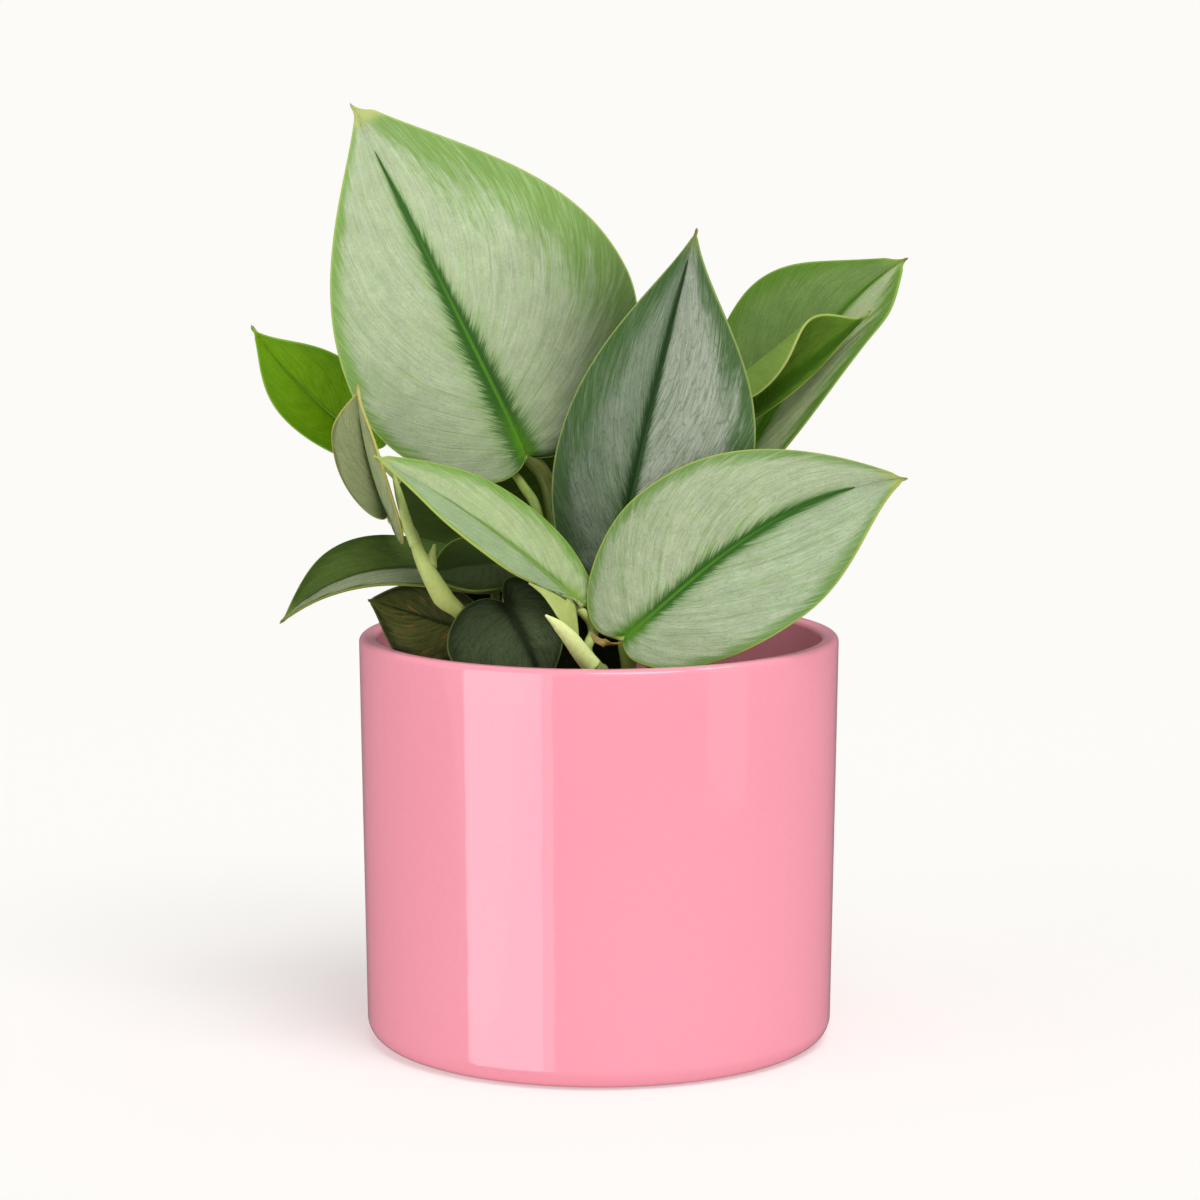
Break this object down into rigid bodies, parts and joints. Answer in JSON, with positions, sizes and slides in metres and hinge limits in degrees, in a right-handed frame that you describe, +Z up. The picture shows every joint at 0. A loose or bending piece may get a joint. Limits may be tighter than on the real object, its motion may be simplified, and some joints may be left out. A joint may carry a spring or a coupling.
{
  "type": "potted plant",
  "caption": "Small potted aroid with silvery pointed leaves on short stems, rooted in soil in a plain glossy pink ceramic cylinder pot.",
  "frame": {"origin": "middle of the pot's flat foot, on the surface it stands on", "axes": "+Z up the pot; the front of the plant looks along -Y; +X to the right of the front view"},
  "size_m": [0.1775, 0.127, 0.2477],
  "materials": {
    "glazed_pot": "gloss",
    "potting_soil": "matte",
    "green_stem": "satin",
    "dried_sheath": "matte",
    "silver_leaf": "satin",
    "grey_leaf": "satin",
    "green_leaf": "gloss",
    "dark_leaf": "satin"
  },
  "bodies": {
    "root": {"pot": "glazed_pot", "soil": "potting_soil", "stem_centre": "green_stem", "stem_right": "green_stem", "stem_front": "green_stem", "stem_left": "green_stem", "new_shoot": "green_stem", "dried_sheath": "dried_sheath", "leaf_large": "silver_leaf", "leaf_middle": "grey_leaf", "leaf_front": "silver_leaf", "leaf_left_front": "silver_leaf", "leaf_right_back": "green_leaf", "leaf_furled": "green_leaf", "leaf_left_back": "green_leaf", "leaf_left_folded": "grey_leaf", "leaf_left_low": "dark_leaf", "leaf_behind": "dark_leaf", "leaf_small_dark": "dark_leaf", "leaf_pot_left": "dark_leaf", "leaf_pot_front": "dark_leaf", "leaf_inner": "dark_leaf", "leaf_deep": "dark_leaf"}
  },
  "joints": []
}
